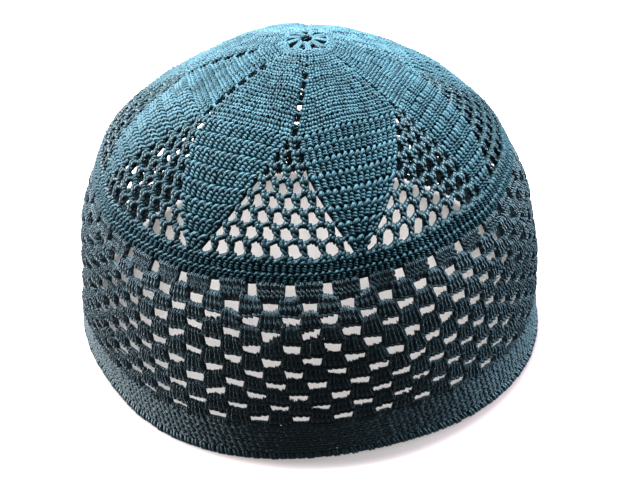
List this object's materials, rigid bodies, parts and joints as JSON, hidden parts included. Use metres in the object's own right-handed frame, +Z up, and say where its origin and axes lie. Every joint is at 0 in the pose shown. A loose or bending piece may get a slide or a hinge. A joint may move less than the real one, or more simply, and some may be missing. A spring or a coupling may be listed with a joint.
{
  "type": "crocheted summer cap",
  "caption": "Brimless crocheted summer cap: a round dome of dense petals and openwork gores over a deep block-lace side, a dense lower band and a twisted edging.",
  "frame": {"origin": "middle of the rim, on the surface that the cap stands on", "axes": "+Z up through the crown, -Y towards the side shown in the picture, +X to its right"},
  "size_m": [0.18, 0.18, 0.116],
  "materials": {
    "crown_yarn": "dense rounds of mercerised cotton yarn, dark teal with a soft sheen",
    "gore_yarn": "open mesh of the same dark teal cotton yarn",
    "side_yarn": "blocks and small stitches of the same dark teal cotton yarn",
    "edging_yarn": "twisted corded stitches of the same dark teal cotton yarn"
  },
  "bodies": {
    "root": {"crown_rosette": "crown_yarn", "crown_petals": "crown_yarn", "mesh_gore_1": "gore_yarn", "mesh_gore_2": "gore_yarn", "mesh_gore_3": "gore_yarn", "mesh_gore_4": "gore_yarn", "mesh_gore_5": "gore_yarn", "mesh_gore_6": "gore_yarn", "mesh_gore_7": "gore_yarn", "mesh_gore_8": "gore_yarn", "crown_band": "crown_yarn", "lace_side": "side_yarn", "lower_band": "side_yarn", "twisted_edging": "edging_yarn"}
  },
  "joints": []
}
